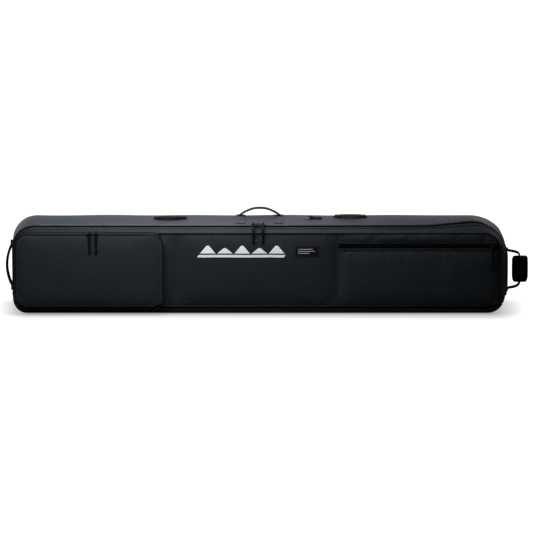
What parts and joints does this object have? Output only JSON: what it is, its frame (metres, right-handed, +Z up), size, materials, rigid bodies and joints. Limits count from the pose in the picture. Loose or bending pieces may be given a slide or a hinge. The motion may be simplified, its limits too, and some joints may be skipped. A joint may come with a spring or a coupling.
{
  "type": "snowboard travel bag",
  "caption": "Long padded bag for snowboards, lying on its base, with a zipped front lid, a box pocket, a flat zip pocket and carry handles.",
  "frame": {"origin": "centre of the flat base that the bag rests on, under the middle of the body", "axes": "+X along the bag towards the tow handle, +Y from the zipped front to the back, +Z up"},
  "size_m": [1.8286, 0.2351, 0.3574],
  "materials": {
    "body_fabric": "matte",
    "base_fabric": "matte",
    "panel_fabric": "satin",
    "piping": "satin",
    "lining": "matte",
    "foam": "matte",
    "zip_tape": "matte",
    "webbing": "matte",
    "grab_webbing": "matte",
    "wrap_fabric": "matte",
    "metal": "satin",
    "buckle_plastic": "satin",
    "pull_rubber": "matte",
    "print": "matte",
    "label": "matte"
  },
  "bodies": {
    "bag_body": {"top_gusset": "body_fabric", "bottom_gusset": "base_fabric", "left_end_gusset": "body_fabric", "right_end_gusset": "body_fabric", "back_panel": "base_fabric", "back_piping": "piping", "tub_lining": "lining", "back_foam": "foam", "hinge_piping": "piping", "tub_zip_tape": "zip_tape", "haul_patches": "webbing", "grab_handle_left": "grab_webbing", "grab_handle_right": "grab_webbing", "ring_tab": "webbing", "left_handle_patches": "webbing", "tow_handle_patches": "webbing", "inner_straps": "webbing", "buckle_sockets": "buckle_plastic"},
    "ring": {"webbing_ring": "metal"},
    "haul_handle": {"haul_handle": "webbing"},
    "left_handle": {"left_end_handle": "webbing"},
    "tow_handle": {"tow_handle_legs": "webbing", "tow_handle_wrap": "wrap_fabric"},
    "buckle_left": {"buckle_plug_left": "buckle_plastic"},
    "buckle_right": {"buckle_plug_right": "buckle_plastic"},
    "lid": {"lid_top_band": "body_fabric", "lid_left_band": "body_fabric", "lid_right_band": "body_fabric", "front_panel_left": "panel_fabric", "front_panel_middle": "panel_fabric", "front_panel_right_lower": "panel_fabric", "front_panel_right_upper": "panel_fabric", "front_foam_left": "foam", "front_foam_right": "foam", "flat_pocket_lining": "lining", "lid_lining": "lining", "front_piping": "piping", "lid_zip_tape": "zip_tape", "emblem": "print", "woven_label": "label", "flat_zip_tapes": "zip_tape", "box_pocket_gusset": "body_fabric", "pocket_hinge_piping": "piping", "pocket_zip_tape_inner": "zip_tape", "zip_garage": "zip_tape"},
    "pocket_door": {"pocket_panel": "panel_fabric", "pocket_zip_tape_outer": "zip_tape"},
    "main_slider_left": {"main_slider_left": "metal"},
    "main_slider_right": {"main_slider_right": "metal"},
    "pocket_slider_left": {"pocket_slider_left": "metal"},
    "pocket_slider_right": {"pocket_slider_right": "metal"},
    "flat_slider": {"flat_slider": "metal"},
    "main_pull_left": {"main_pull_left": "pull_rubber"},
    "main_pull_right": {"main_pull_right": "pull_rubber"},
    "pocket_pull_left": {"pocket_pull_left": "pull_rubber"},
    "pocket_pull_right": {"pocket_pull_right": "pull_rubber"},
    "flat_pull": {"flat_pull": "pull_rubber"}
  },
  "joints": [
    {"name": "lid_hinge", "type": "hinge", "parent": "bag_body", "child": "lid", "pos_m": [0, -0.094, 0.028], "axis": [1, 0, 0], "range_deg": [0, 88]},
    {"name": "pocket_hinge", "type": "hinge", "parent": "lid", "child": "pocket_door", "pos_m": [-0.593, -0.122, 0.034], "axis": [1, 0, 0], "range_deg": [0, 85]},
    {"name": "main_zip_left", "type": "slide", "parent": "lid", "child": "main_slider_left", "axis": [1, 0, 0], "range_m": [-0.28, 0]},
    {"name": "main_zip_right", "type": "slide", "parent": "lid", "child": "main_slider_right", "axis": [1, 0, 0], "range_m": [0, 0.69]},
    {"name": "pocket_zip_left", "type": "slide", "parent": "pocket_door", "child": "pocket_slider_left", "axis": [1, 0, 0], "range_m": [-0.19, 0]},
    {"name": "pocket_zip_right", "type": "slide", "parent": "pocket_door", "child": "pocket_slider_right", "axis": [1, 0, 0], "range_m": [0, 0.16]},
    {"name": "flat_zip", "type": "slide", "parent": "lid", "child": "flat_slider", "axis": [1, 0, 0], "range_m": [-0.52, 0]},
    {"name": "main_pull_left_swing", "type": "hinge", "parent": "main_slider_left", "child": "main_pull_left", "pos_m": [-0.022, -0.06517, 0.3151], "axis": [-1, 0, 0], "range_deg": [0, 105]},
    {"name": "main_pull_right_swing", "type": "hinge", "parent": "main_slider_right", "child": "main_pull_right", "pos_m": [0.011, -0.06517, 0.3151], "axis": [-1, 0, 0], "range_deg": [0, 105]},
    {"name": "pocket_pull_left_swing", "type": "hinge", "parent": "pocket_slider_left", "child": "pocket_pull_left", "pos_m": [-0.591, -0.1236, 0.298], "axis": [-1, 0, 0], "range_deg": [0, 105]},
    {"name": "pocket_pull_right_swing", "type": "hinge", "parent": "pocket_slider_right", "child": "pocket_pull_right", "pos_m": [-0.568, -0.1236, 0.298], "axis": [-1, 0, 0], "range_deg": [0, 105]},
    {"name": "flat_pull_swing", "type": "hinge", "parent": "flat_slider", "child": "flat_pull", "pos_m": [0.811, -0.1078, 0.2422], "axis": [-1, 0, 0], "range_deg": [0, 105]},
    {"name": "haul_handle_tilt", "type": "hinge", "parent": "bag_body", "child": "haul_handle", "pos_m": [0, 0.018, 0.33], "axis": [1, 0, 0], "range_deg": [-20, 20]},
    {"name": "left_handle_swing", "type": "hinge", "parent": "bag_body", "child": "left_handle", "pos_m": [-0.8696, 0, 0.157], "axis": [0, 0, 1], "range_deg": [-20, 20]},
    {"name": "tow_handle_swing", "type": "hinge", "parent": "bag_body", "child": "tow_handle", "pos_m": [0.8696, 0, 0.142], "axis": [0, 0, 1], "range_deg": [-40, 40]},
    {"name": "ring_flip", "type": "hinge", "parent": "bag_body", "child": "ring", "pos_m": [0.175, -0.008, 0.32781], "axis": [0, 0.9796, 0.201], "range_deg": [0, 90]},
    {"name": "buckle_left_release", "type": "slide", "parent": "bag_body", "child": "buckle_left", "axis": [0, 0, -1], "range_m": [0, 0.028]},
    {"name": "buckle_right_release", "type": "slide", "parent": "bag_body", "child": "buckle_right", "axis": [0, 0, -1], "range_m": [0, 0.028]}
  ]
}
